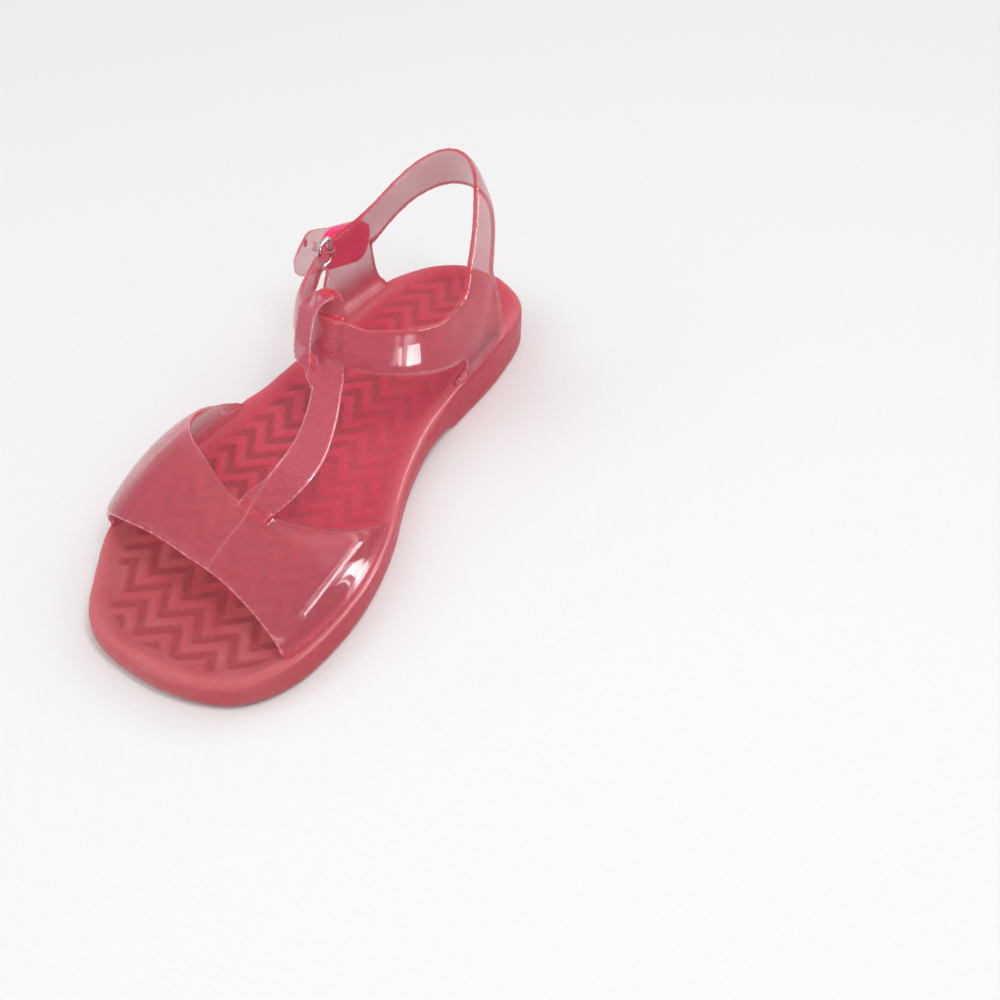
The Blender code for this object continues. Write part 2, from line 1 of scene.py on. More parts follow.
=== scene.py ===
"""Looks of a toddler's T-strap jelly sandal, in clear pink soft plastic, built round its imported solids.

Metres, +Z up, toe towards -Y, arch side towards +X. Every piece belongs to the one body "root".
"""

import logging
import math
from dataclasses import dataclass, field
from enum import Enum
from typing import Dict, List, Sequence, Tuple, Union

import bpy
import numpy as np
from mathutils import Matrix, Quaternion, Vector
from mathutils.bvhtree import BVHTree
from mathutils.kdtree import KDTree


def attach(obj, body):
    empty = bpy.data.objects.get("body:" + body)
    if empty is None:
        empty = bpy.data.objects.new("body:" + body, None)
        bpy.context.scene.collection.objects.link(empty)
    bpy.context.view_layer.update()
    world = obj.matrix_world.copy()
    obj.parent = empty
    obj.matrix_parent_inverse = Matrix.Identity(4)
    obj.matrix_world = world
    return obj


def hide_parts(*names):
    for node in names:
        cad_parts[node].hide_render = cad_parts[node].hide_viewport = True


log = logging.getLogger("jelly_sandal")
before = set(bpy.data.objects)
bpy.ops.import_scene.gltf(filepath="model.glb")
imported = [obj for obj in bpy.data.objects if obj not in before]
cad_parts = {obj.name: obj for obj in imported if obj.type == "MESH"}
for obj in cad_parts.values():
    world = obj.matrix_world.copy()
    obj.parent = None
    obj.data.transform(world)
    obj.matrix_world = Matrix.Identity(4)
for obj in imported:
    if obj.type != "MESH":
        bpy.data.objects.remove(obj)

MM = 0.001
MERGE_DISTANCE = 0.00001

# How Border reads the sole's edge, and how near to a strap's foot it counts as covered
EDGE_SLICES = 110
EDGE_END = 0.3 * MM
SLICE_HALF = 0.8 * MM
EDGE_REACH = 2.5 * MM
EDGE_SPAN = 7
FOOT_LOW, FOOT_HIGH = 3.0 * MM, 6.0 * MM
FOOT_STRIDE = 3
FOOT_NEAR, FOOT_FAR = 3.0 * MM, 13.0 * MM

Colour = Tuple[float, float, float]


class Mark(Enum):
    """Numbers that a mesh stores on its points for its material."""

    DEPTH = "depth"
    FOOT = "foot"
    STRAP = "strap"
    CREST = "crest"
    GROOVE = "groove"
    TONE = "tone"
    EDGE = "edge"
    SIDE = "side"


class Light(Enum):
    """Jobs of the studio lamps."""

    WINDOW = "window"
    FILL = "fill"
    BACK = "back"
    PANE = "pane"


class Socket:
    """A node's output that does shader maths through Python operators."""

    def __init__(self, tree: "Tree", socket: bpy.types.NodeSocket) -> None:
        """Keeps the output and the tree that it belongs to.

        Args:
            tree: The node tree under construction.
            socket: The output to wrap.
        """
        self.tree = tree
        self.socket = socket

    def _math(self, operation: str, *others: "Value") -> "Socket":
        """One Math node on this value.

        Args:
            operation: The node's operation.
            others: Its further inputs.

        Returns:
            The node's result.
        """
        values = {0: self, **dict(enumerate(others, 1))}
        return self.tree.node("ShaderNodeMath", {"operation": operation}, values)

    def __add__(self, other: "Value") -> "Socket":
        """Sum."""
        return self._math("ADD", other)

    def __radd__(self, other: "Value") -> "Socket":
        """Sum, reflected."""
        return self._math("ADD", other)

    def __sub__(self, other: "Value") -> "Socket":
        """Difference."""
        return self._math("SUBTRACT", other)

    def __rsub__(self, other: float) -> "Socket":
        """Difference, reflected."""
        return self.tree.node("ShaderNodeMath", {"operation": "SUBTRACT"}, {0: other, 1: self})

    def __mul__(self, other: "Value") -> "Socket":
        """Product."""
        return self._math("MULTIPLY", other)

    def __rmul__(self, other: "Value") -> "Socket":
        """Product, reflected."""
        return self._math("MULTIPLY", other)

    def limited(self) -> "Socket":
        """The value held between 0 and 1."""
        return self.tree.node("ShaderNodeClamp", {}, {0: self})

    def ramp(self, low: float, high: float, to_low: float = 0.0, to_high: float = 1.0) -> "Socket":
        """A smooth step between two levels.

        Args:
            low: Level where the step starts.
            high: Level where the step ends.
            to_low: Value up to low.
            to_high: Value from high.

        Returns:
            The stepped value.
        """
        settings = {"interpolation_type": "SMOOTHSTEP", "clamp": True}
        values = {0: self, 1: low, 2: high, 3: to_low, 4: to_high}
        return self.tree.node("ShaderNodeMapRange", settings, values)


Value = Union[Socket, float, Tuple[float, ...]]


class Tree:
    """A material's node tree, written through one general node method."""

    def __init__(self, name: str) -> None:
        """Starts a material with its Principled shader.

        Args:
            name: The material's name.
        """
        self.material = bpy.data.materials.new(name)
        self.material.use_nodes = True
        self.nodes = self.material.node_tree.nodes
        self.links = self.material.node_tree.links
        self.shader = self.nodes["Principled BSDF"]

    def node(self, kind: str, settings: Dict[str, object], values: Dict[Union[int, str], Value],
             output: Union[int, str] = 0) -> Socket:
        """Adds any node.

        Args:
            kind: The node's type.
            settings: Its own settings, set before its sockets.
            values: Its inputs by index or name, as values or links.
            output: The output to return.

        Returns:
            The chosen output.
        """
        made = self.nodes.new(kind)
        for key, value in settings.items():
            setattr(made, key, value)
        for key, value in values.items():
            self.feed(made.inputs[key], value)
        return Socket(self, made.outputs[output])

    def feed(self, target: bpy.types.NodeSocket, value: Value) -> None:
        """Links or sets one input.

        Args:
            target: The input.
            value: A socket to link, or a constant.
        """
        if isinstance(value, Socket):
            self.links.new(value.socket, target)
        elif isinstance(value, tuple) and len(target.default_value) == 4 and len(value) == 3:
            target.default_value = (*value, 1.0)
        else:
            target.default_value = value

    def place(self) -> Socket:
        """The surface's own coordinates, in metres."""
        return self.node("ShaderNodeTexCoord", {}, {}, "Object")

    def attribute(self, mark: Mark) -> Socket:
        """A number stored on the mesh's points."""
        return self.node("ShaderNodeAttribute", {"attribute_name": mark.value}, {}, "Fac")

    def noise(self, size: float, detail: float = 2.0, roughness: float = 0.5) -> Socket:
        """Cloudy noise.

        Args:
            size: Size of its clouds in metres.
            detail: Octaves of finer noise.
            roughness: Weight of the finer noise.

        Returns:
            A value about 0.5.
        """
        values = {"Vector": self.place(), "Scale": 1.0 / size, "Detail": detail, "Roughness": roughness}
        return self.node("ShaderNodeTexNoise", {}, values, "Fac")

    def specks(self, spacing: float, radius: float) -> Socket:
        """Small round specks, one in each cell of a scattered grid.

        Args:
            spacing: Mean distance between specks in metres.
            radius: Their radius in metres.

        Returns:
            1 on a speck and 0 off it.
        """
        values = {"Vector": self.place(), "Scale": 1.0 / spacing}
        distance = self.node("ShaderNodeTexVoronoi", {"feature": "F1"}, values, "Distance")
        return distance.ramp(0.5 * radius / spacing, radius / spacing, 1.0, 0.0)

    def mix(self, share: Value, low: Value, high: Value) -> Socket:
        """Blends two colours.

        Args:
            share: 0 for low, 1 for high.
            low: First colour.
            high: Second colour.

        Returns:
            The blended colour.
        """
        return self.node("ShaderNodeMix", {"data_type": "RGBA"}, {0: share, 6: low, 7: high}, 2)

    def bump(self, height: Socket, distance: float, strength: float = 1.0) -> None:
        """Feeds a height to the shader's normal.

        Args:
            height: Height as a value.
            distance: Height of one unit in metres.
            strength: Share of the effect.
        """
        values = {"Strength": strength, "Distance": distance, "Height": height}
        self.feed(self.shader.inputs["Normal"], self.node("ShaderNodeBump", {}, values))

    def set(self, **values: Value) -> None:
        """Sets the shader's sockets, whose spaces are written as underscores."""
        for key, value in values.items():
            self.feed(self.shader.inputs[key.replace("_", " ")], value)


@dataclass(frozen=True)
class ClearJelly:
    """Clear soft plastic whose colour deepens with the thickness that light crosses."""

    name: str
    thin: Colour = (0.575, 0.098, 0.132)
    cut: Colour = (0.58, 0.020, 0.045)
    foot: Colour = (0.56, 0.055, 0.095)
    glint: Colour = (0.95, 0.40, 0.47)
    strap: Colour = (0.62, 0.115, 0.170)
    alpha_thin: float = 0.46
    alpha_cut: float = 0.92
    alpha_foot: float = 0.97
    thin_at: float = 2.6 * MM
    cut_at: float = 6.5 * MM
    roughness: float = 0.13
    gloss: float = 0.12
    coat: float = 0.50
    cloud_size: float = 9 * MM
    grain_size: float = 0.75 * MM
    scuff_size: float = 2.5 * MM
    ripple_size: float = 6 * MM
    ripple_height: float = 0.05 * MM
    speck: Colour = (0.16, 0.02, 0.03)
    speck_spacing: float = 10 * MM
    speck_radius: float = 0.22 * MM

    def material(self) -> bpy.types.Material:
        """Builds the material.

        Returns:
            The finished material, which reads the depth, foot, crest and strap marks.
        """
        tree = Tree(self.name)
        depth = tree.attribute(Mark.DEPTH).ramp(self.thin_at, self.cut_at)
        foot = tree.attribute(Mark.FOOT)
        crest = tree.attribute(Mark.CREST)
        cloud = tree.noise(self.cloud_size, 3.0)
        grain = tree.noise(self.grain_size, 3.0, 0.7)
        strap = tree.attribute(Mark.STRAP)
        body = tree.mix(strap * 0.8, self.thin, self.strap)
        body = tree.mix(depth * (1.0 - strap * 0.5), body, self.cut)
        body = tree.mix(foot, body, self.foot)
        body = tree.mix(cloud.ramp(0.35, 0.7, 0.0, 0.25), body, self.foot)
        body = tree.mix(grain.ramp(0.42, 0.60, 0.0, 0.10), body, self.glint)
        body = tree.mix(crest * 0.7, body, self.glint)
        speck = tree.specks(self.speck_spacing, self.speck_radius)
        body = tree.mix(speck * 0.8, body, self.speck)
        thin_loss, cut_loss = self.alpha_foot - self.alpha_thin, self.alpha_foot - self.alpha_cut
        clear = (1.0 - depth) * (1.0 - foot)
        solid = self.alpha_foot - clear * thin_loss - depth * (1.0 - foot) * cut_loss
        solid = solid + cloud.ramp(0.3, 0.7, -0.04, 0.03) + crest * 0.25 + strap * 0.14
        scuff = tree.noise(self.scuff_size, 4.0, 0.7).ramp(0.45, 0.75)
        tree.set(Base_Color=body, Alpha=solid.limited())
        tree.set(Roughness=scuff * 0.12 + foot * 0.30 + self.roughness)
        tree.set(IOR=1.50, Specular_IOR_Level=self.gloss)
        tree.set(Coat_Weight=self.coat * (1.0 - foot), Coat_Roughness=0.025)
        ripple = tree.noise(self.ripple_size, 1.0) + grain * 0.04
        tree.bump(ripple, self.ripple_height, 0.8)
        return tree.material


@dataclass(frozen=True)
class DeepJelly:
    """The same plastic where it is thick, with light scattered inside it."""

    name: str
    land: Colour = (0.53, 0.130, 0.142)
    # Painted shade: the darker colour laid in the footbed's grooves
    groove: Colour = (0.40, 0.056, 0.072)
    side: Colour = (0.50, 0.050, 0.080)
    # Painted light: the paler colour on the upward-facing top of the rim
    pale: Colour = (0.56, 0.160, 0.172)
    rich: Colour = (0.64, 0.050, 0.108)
    # Painted shade: the deeper colour on the sole's steep sides
    wall: Colour = (0.46, 0.020, 0.050)
    glint: Colour = (0.90, 0.30, 0.36)
    # Painted highlight: pale sparkle spread over the sole by fine noise
    sparkle_highlight: Colour = (0.80, 0.30, 0.34)
    speck: Colour = (0.10, 0.012, 0.015)
    speck_spacing: float = 7.5 * MM
    speck_radius: float = 0.24 * MM
    cloud_size: float = 16 * MM
    grain_size: float = 0.80 * MM
    scuff_size: float = 3 * MM
    grain_height: float = 0.05 * MM
    roughness: float = 0.34
    scatter_reach: float = 6 * MM
    scatter: Colour = (1.0, 0.25, 0.28)

    def material(self) -> bpy.types.Material:
        """Builds the material.

        Returns:
            The finished material, which reads the groove, edge, tone, side and crest marks.
        """
        tree = Tree(self.name)
        groove = tree.attribute(Mark.GROOVE)
        edge = tree.attribute(Mark.EDGE)
        cloud = tree.noise(self.cloud_size, 3.0)
        grain = tree.noise(self.grain_size, 3.0, 0.7)
        body = tree.mix(cloud.ramp(0.32, 0.68, 0.0, 0.7), self.land, self.side)
        body = tree.mix(tree.attribute(Mark.TONE) * 0.8, body, self.rich)
        # Painted light: the top of the rim near the edge made paler
        body = tree.mix(edge * 0.5, body, self.pale)
        # Painted shade on the steep sides, weaker at the toe
        body = tree.mix(tree.attribute(Mark.SIDE) * 0.85, body, self.wall)
        body = tree.mix(tree.attribute(Mark.CREST) * 0.25, body, self.glint)
        # Painted shade in the sunk grooves
        body = tree.mix(groove * 0.85, body, self.groove)
        # Painted highlight: pale sparkle in the fine grain
        body = tree.mix(grain.ramp(0.30, 0.70, 0.0, 0.12), body, self.sparkle_highlight)
        speck = tree.specks(self.speck_spacing, self.speck_radius)
        body = tree.mix(speck * 0.85, body, self.speck)
        scuff = tree.noise(self.scuff_size, 4.0, 0.7).ramp(0.4, 0.75)
        tree.set(Base_Color=body, Roughness=scuff * 0.15 + self.roughness, IOR=1.50, Specular_IOR_Level=0.20)
        tree.set(Coat_Weight=0.04, Coat_Roughness=0.18)
        tree.set(Subsurface_Weight=0.55, Subsurface_Scale=self.scatter_reach, Subsurface_Radius=self.scatter)
        tree.bump(grain + cloud * 0.4, self.grain_height, 0.9)
        return tree.material


@dataclass(frozen=True)
class BrightWire:
    """Plated wire, worn a little where it rubs."""

    name: str
    colour: Colour = (0.56, 0.56, 0.54)
    dull: Colour = (0.24, 0.23, 0.22)
    wear_size: float = 0.9 * MM
    scratch_size: float = 0.25 * MM
    scratch_height: float = 0.02 * MM

    def material(self) -> bpy.types.Material:
        """Builds the material.

        Returns:
            The finished material.
        """
        tree = Tree(self.name)
        wear = tree.noise(self.wear_size, 4.0, 0.7).ramp(0.48, 0.68)
        tree.set(Base_Color=tree.mix(wear * 0.7, self.colour, self.dull), Metallic=1.0 - wear * 0.1)
        tree.set(Roughness=wear * 0.25 + 0.16)
        tree.bump(tree.noise(self.scratch_size, 3.0), self.scratch_height, 0.6)
        return tree.material


@dataclass(frozen=True)
class PileCloth:
    """Hot pink hook or loop cloth."""

    name: str
    colour: Colour = (0.80, 0.012, 0.145)
    shade: Colour = (0.50, 0.004, 0.060)
    # Painted light: the cloth glows so that it reads bright behind the clear plastic
    glow: Colour = (1.0, 0.012, 0.17)
    glow_strength: float = 0.50
    cell: float = 0.45 * MM
    fuzz_size: float = 0.16 * MM
    pile_height: float = 0.15 * MM

    def material(self) -> bpy.types.Material:
        """Builds the material.

        Returns:
            The finished material.
        """
        tree = Tree(self.name)
        values = {"Vector": tree.place(), "Scale": 1.0 / self.cell}
        cell = tree.node("ShaderNodeTexVoronoi", {"feature": "F1"}, values, "Distance")
        fuzz = tree.noise(self.fuzz_size, 3.0, 0.7)
        dark = cell.ramp(0.25, 0.75) * 0.6 + fuzz.ramp(0.4, 0.7) * 0.4
        tree.set(Base_Color=tree.mix(dark, self.colour, self.shade), Roughness=fuzz * 0.2 + 0.75)
        tree.set(Sheen_Weight=0.6, Sheen_Roughness=0.5)
        # Painted light: emission brightens the pad
        tree.set(Emission_Color=self.glow, Emission_Strength=self.glow_strength)
        tree.bump(cell + fuzz * 0.5, self.pile_height, 0.9)
        return tree.material


@dataclass(frozen=True)
class Paper:
    """Plain pale studio floor."""

    name: str
    colour: Colour = (0.86, 0.86, 0.86)
    pale: Colour = (0.88, 0.88, 0.88)
    grain_size: float = 1.2 * MM

    def material(self) -> bpy.types.Material:
        """Builds the material.

        Returns:
            The finished material.
        """
        tree = Tree(self.name)
        grain = tree.noise(self.grain_size, 2.0)
        tree.set(Base_Color=tree.mix(grain.ramp(0.2, 0.8), self.colour, self.pale), Roughness=0.9)
        tree.set(Specular_IOR_Level=0.0)
        return tree.material


class Piece:
    """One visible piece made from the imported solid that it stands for."""

    def __init__(self, name: str, node: str) -> None:
        """Copies the solid as a closed mesh of its own.

        Args:
            name: Name of the visible piece.
            node: CAD node that it stands for.
        """
        self.node = node
        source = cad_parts[node]
        mesh = source.data.copy()
        mesh.name = name
        mesh.materials.clear()
        self.object = bpy.data.objects.new(name, mesh)
        bpy.context.scene.collection.objects.link(self.object)
        self.select()
        bpy.ops.object.mode_set(mode="EDIT")
        bpy.ops.mesh.select_all(action="SELECT")
        bpy.ops.mesh.remove_doubles(threshold=MERGE_DISTANCE)
        bpy.ops.mesh.normals_make_consistent(inside=False)
        bpy.ops.object.mode_set(mode="OBJECT")
        if "custom_normal" in mesh.attributes:
            mesh.attributes.remove(mesh.attributes["custom_normal"])

    def select(self) -> None:
        """Makes this piece the one selected and active object."""
        bpy.ops.object.select_all(action="DESELECT")
        self.object.select_set(True)
        bpy.context.view_layer.objects.active = self.object

    def modify(self, kind: str, **settings: object) -> None:
        """Adds a modifier and applies it.

        Args:
            kind: The modifier's type.
            settings: Its settings.
        """
        self.select()
        made = self.object.modifiers.new(kind.lower(), kind)
        for key, value in settings.items():
            setattr(made, key, value)
        bpy.ops.object.modifier_apply(modifier=made.name)

    def smooth(self, rounds: int) -> None:
        """Smooths the whole surface."""
        self.modify("SMOOTH", factor=0.5, iterations=rounds)

    def remesh(self, voxel: float) -> None:
        """Meshes the piece finely and evenly."""
        self.modify("REMESH", mode="VOXEL", voxel_size=voxel, use_smooth_shade=True)

    def _rows(self, name: str) -> np.ndarray:
        """Reads a vector of each point.

        Args:
            name: The vertex property to read.

        Returns:
            Rows of x, y and z.
        """
        flat = np.empty(len(self.object.data.vertices) * 3, np.float32)
        self.object.data.vertices.foreach_get(name, flat)
        return flat.reshape(-1, 3).astype(float)

    def points(self) -> np.ndarray:
        """The mesh's points as rows of x, y and z."""
        return self._rows("co")

    def normals(self) -> np.ndarray:
        """The points' normals as rows of x, y and z."""
        return self._rows("normal")

    def edge_ends(self) -> np.ndarray:
        """The two end points of each edge, as two rows of point numbers."""
        ends = np.empty(len(self.object.data.edges) * 2, np.int32)
        self.object.data.edges.foreach_get("vertices", ends)
        return ends.reshape(-1, 2).T

    def move(self, points: np.ndarray) -> None:
        """Puts the mesh's points where they are told.

        Args:
            points: Rows of x, y and z.
        """
        self.object.data.vertices.foreach_set("co", points.astype(np.float32).ravel())
        self.object.data.update()

    def mark(self, kind: Mark, values: np.ndarray) -> None:
        """Stores a number for each point.

        Args:
            kind: What the number is for.
            values: One number for each point.
        """
        made = self.object.data.attributes.new(kind.value, "FLOAT", "POINT")
        made.data.foreach_set("value", values.astype(np.float32))

    def neighbours_mean(self, values: np.ndarray, times: int) -> np.ndarray:
        """Values smoothed along the mesh's edges.

        Args:
            values: One number for each point.
            times: Rounds of smoothing.

        Returns:
            The smoothed numbers.
        """
        a, b = self.edge_ends()
        count = np.bincount(a, minlength=len(values)) + np.bincount(b, minlength=len(values))
        for _ in range(times):
            total = np.bincount(a, values[b], len(values)) + np.bincount(b, values[a], len(values))
            values = 0.5 * values + 0.5 * total / np.maximum(count, 1)
        return values

    def mean_points(self, points: np.ndarray, times: int) -> np.ndarray:
        """Points smoothed along the mesh's edges.

        Args:
            points: Rows of x, y and z.
            times: Rounds of smoothing.

        Returns:
            The smoothed rows.
        """
        return np.stack([self.neighbours_mean(points[:, k], times) for k in range(3)], axis=1)

    def relax(self, shares: np.ndarray, times: int) -> None:
        """Evens out the surface, each point by its own share.

        Args:
            shares: 0 for points that stay, 1 for points that move freely.
            times: Rounds of smoothing.
        """
        points = self.points()
        for _ in range(times):
            points = points + (self.mean_points(points, 1) - points) * shares[:, None]
        self.move(points)

    def thickness(self, limit: float) -> np.ndarray:
        """How far each point's inward ray goes before it leaves the solid.

        Args:
            limit: The furthest that a ray looks, in metres.

        Returns:
            One distance for each point.
        """
        mesh = self.object.data
        mesh.calc_loop_triangles()
        triangles = np.empty(len(mesh.loop_triangles) * 3, np.int32)
        mesh.loop_triangles.foreach_get("vertices", triangles)
        points, normals = self.points(), self.normals()
        tree = BVHTree.FromPolygons(points.tolist(), triangles.reshape(-1, 3).tolist())
        found = np.full(len(points), limit)
        for i, (point, normal) in enumerate(zip(points, normals)):
            inward = Vector(-normal)
            hit = tree.ray_cast(Vector(point) + inward * 0.05 * MM, inward, limit)
            if hit[0] is not None:
                found[i] = hit[3]
        return found

    def crest(self, low: Union[float, np.ndarray], high: Union[float, np.ndarray]) -> np.ndarray:
        """How sharply the surface bulges outward at each point.

        Args:
            low: Bulge, in 1/m, at which it starts to count.
            high: Bulge at which it counts in full.

        Returns:
            One number from 0 to 1 for each point.
        """
        points, normals = self.points(), self.normals()
        mean = self.mean_points(points, 2)
        a, b = self.edge_ends()
        length = np.linalg.norm(points[a] - points[b], axis=1).mean()
        bulge = np.einsum("ij,ij->i", points - mean, normals) / length ** 2
        bulge = self.neighbours_mean(bulge, 1)
        return np.clip((bulge - low) / (high - low), 0.0, 1.0)

    def finish(self, material: bpy.types.Material, slot: str) -> None:
        """Dresses the piece, hangs it on the body and hides its solid.

        Args:
            material: Its material.
            slot: Not used.
        """
        self.object.data.materials.clear()
        self.object.data.materials.append(material)
        self.select()
        bpy.ops.object.shade_smooth()
        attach(self.object, "root")
        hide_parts(self.node)


def step(values: np.ndarray, low: float, high: float) -> np.ndarray:
    """A smooth step from 0 at low to 1 at high.

    Args:
        values: Numbers to step.
        low: Where the step starts.
        high: Where it ends, which may be below low.

    Returns:
        Numbers from 0 to 1.
    """
    share = np.clip((values - low) / (high - low), 0.0, 1.0)
    return share * share * (3.0 - 2.0 * share)


@dataclass
class Border:
    """The sole's edge seen from above, with its height and the straps that stand on it."""

    line: np.ndarray
    top: np.ndarray
    feet: KDTree

    @classmethod
    def read(cls, sole: np.ndarray, upper: np.ndarray) -> "Border":
        """Reads the edge from the finely meshed solids.

        Args:
            sole: The sole's points.
            upper: The upper's points.

        Returns:
            The border.
        """
        left, right = [], []
        for y in np.linspace(sole[:, 1].min() + EDGE_END, sole[:, 1].max() - EDGE_END, EDGE_SLICES):
            x = sole[np.abs(sole[:, 1] - y) < SLICE_HALF, 0]
            left.append((x.min(), y))
            right.append((x.max(), y))
        line = np.array(right + left[::-1])
        top = np.array([sole[np.hypot(*(sole[:, :2] - p).T) < EDGE_REACH, 2].max() for p in line])
        half = EDGE_SPAN // 2
        ring = np.r_[top[-half:], top, top[:half]]
        border = cls(line, np.convolve(ring, np.ones(EDGE_SPAN) / EDGE_SPAN, "valid"), KDTree(1))
        above = upper[:, 2] - border.locate(upper)[1]
        feet = upper[(above > FOOT_LOW) & (above < FOOT_HIGH)][::FOOT_STRIDE]
        border.feet = KDTree(len(feet))
        for index, point in enumerate(feet):
            border.feet.insert(point, index)
        border.feet.balance()
        return border

    def locate(self, points: np.ndarray) -> Tuple[np.ndarray, np.ndarray]:
        """Places points against the edge.

        Args:
            points: Rows of x, y and z.

        Returns:
            Each point's distance to the edge and the edge's height there.
        """
        flat = points[:, :2]
        best = np.full(len(flat), 1e9)
        height = np.zeros(len(flat))
        for a, b, level in zip(self.line, np.roll(self.line, -1, axis=0), self.top):
            along = b - a
            share = np.clip(((flat - a) @ along) / max(along @ along, 1e-12), 0.0, 1.0)
            away = np.hypot(*(flat - a - share[:, None] * along).T)
            height = np.where(away < best, level, height)
            best = np.minimum(best, away)
        return best, height

    def openness(self, points: np.ndarray) -> np.ndarray:
        """How free of straps the edge is near each point.

        Args:
            points: Rows of x, y and z.

        Returns:
            0 at a strap's foot and 1 well away from it.
        """
        away = np.array([self.feet.find(p)[2] for p in points])
        return step(away, FOOT_NEAR, FOOT_FAR)


@dataclass
class Sole:
    """Moulded sole with stair-stepped grooves in its footbed and fine tread underneath."""

    voxel: float = 0.62 * MM
    smoothing: int = 14
    groove_depth: float = 0.55 * MM
    groove_period: float = 12.0 * MM
    groove_rise: float = 6.0 * MM
    row_pitch: float = 7.2 * MM
    groove_width: float = 3.5 * MM
    groove_edge: float = 0.42 * MM
    turn: float = math.radians(-11.0)
    phase_across: float = 3.5 * MM
    phase_along: float = 55.2 * MM
    margin: float = 5.4 * MM
    fade: float = 1.6 * MM
    arch_loss: float = 0.62
    heel_loss: float = 0.35
    tread_period: float = 8.4 * MM
    tread_rise: float = 2.6 * MM
    tread_pitch: float = 4.2 * MM
    tread_width: float = 1.5 * MM
    tread_depth: float = 0.6 * MM
    rim: float = 1.85 * MM
    round_inset: Tuple[float, ...] = (0.0, 0.7, 1.6, 2.8, 4.2, 5.8, 7.6)
    round_rise: Tuple[float, ...] = (-0.5, 0.45, 1.0, 1.15, 0.75, 0.25, 0.0)
    finish: DeepJelly = field(default_factory=lambda: DeepJelly("deep_jelly"))

    def zigzag(self, x: np.ndarray, y: np.ndarray, period: float, rise: float, pitch: float,
               width: float) -> np.ndarray:
        """How deep a pattern of zigzag grooves is at each place.

        Args:
            x: Distance across.
            y: Distance along.
            period: Length of one zigzag.
            rise: Height of one zigzag.
            pitch: Distance between grooves.
            width: Width of a groove, measured along.

        Returns:
            0 on the lands and 1 in the grooves.
        """
        wave = np.abs(((x / period) % 1.0) - 0.5) * 2.0
        wave = np.clip((wave - 0.5) * 1.15, -0.5, 0.5)
        offset = (y - wave * rise) / pitch + 0.5
        away = np.abs((offset % 1.0) - 0.5) * pitch
        edge = self.groove_edge
        return 1.0 - np.clip((away - width / 2 + edge) / (2 * edge), 0.0, 1.0)

    def groove_map(self, points: np.ndarray, inset: np.ndarray) -> np.ndarray:
        """How deep the footbed's grooves are at each point.

        Args:
            points: The sole's points.
            inset: Their distance to the sole's edge.

        Returns:
            0 on the lands, up to 1 in the grooves.
        """
        c, s = math.cos(self.turn), math.sin(self.turn)
        across = points[:, 0] * c + points[:, 1] * s
        along = -points[:, 0] * s + points[:, 1] * c
        groove = self.zigzag(across - self.phase_across, along + self.phase_along, self.groove_period,
                             self.groove_rise, self.row_pitch, self.groove_width)
        arch = step(points[:, 0], -5 * MM, 9 * MM) * step(points[:, 1], -36 * MM, -20 * MM)
        arch = arch * step(points[:, 1], 50 * MM, 36 * MM)
        heel = self.heel_loss * step(points[:, 1], 26 * MM, 44 * MM)
        inside = step(inset, self.margin, self.margin + self.fade)
        return groove * inside * (1.0 - self.arch_loss * arch) * (1.0 - heel)

    def rim_rise(self, inset: np.ndarray, open_edge: np.ndarray) -> np.ndarray:
        """How far the footbed turns up at its border.

        Args:
            inset: Distance to the sole's edge.
            open_edge: 1 where no strap stands, which rounds the edge over.

        Returns:
            The rise in metres.
        """
        plateau = self.rim * step(inset, 5.6 * MM, 2.5 * MM)
        rounded = np.interp(inset, np.array(self.round_inset) * MM, np.array(self.round_rise) * MM)
        return plateau + (rounded - plateau) * open_edge

    def shape(self) -> Piece:
        """Meshes the sole finely and evenly.

        Returns:
            The undressed piece.
        """
        piece = Piece("moulded_sole", "sole")
        piece.remesh(self.voxel)
        piece.smooth(self.smoothing)
        return piece

    def dress(self, piece: Piece, border: Border) -> Piece:
        """Turns up the border, sinks the grooves and the tread, and gives the sole its finish.

        Args:
            piece: The finely meshed sole.
            border: The sole's edge.

        Returns:
            The finished piece.
        """
        points, normals = piece.points(), piece.normals()
        inset, level = border.locate(points)
        upward = step(points[:, 2] - level, -3.4 * MM, -0.9 * MM)
        rise = self.rim_rise(inset, border.openness(points)) * upward
        groove = self.groove_map(points, inset) * step(normals[:, 2], 0.5, 0.75)
        under = step(-normals[:, 2], 0.5, 0.75) * step(inset, 4.2 * MM, 5.4 * MM)
        tread = self.zigzag(points[:, 0], points[:, 1], self.tread_period, self.tread_rise, self.tread_pitch,
                            self.tread_width) * under
        points[:, 2] += rise - groove * self.groove_depth + tread * self.tread_depth
        piece.move(points)
        piece.smooth(2)
        behind_toe = 0.35 + 0.65 * step(points[:, 1], -74 * MM, -50 * MM)
        piece.mark(Mark.GROOVE, groove)
        piece.mark(Mark.TONE, step(points[:, 1], -62 * MM, -18 * MM))
        # Where the rim's top faces upward near the edge, for its painted light
        piece.mark(Mark.EDGE, step(inset, 6.5 * MM, 1.0 * MM) * step(normals[:, 2], 0.0, 0.6))
        # Where the sole's sides are steep, for their painted shade, weaker at the toe
        piece.mark(Mark.SIDE, step(np.abs(normals[:, 2]), 0.75, 0.35) * behind_toe)
        piece.mark(Mark.CREST, piece.crest(150.0, 420.0))
        piece.finish(self.finish.material(), "sole")
        return piece


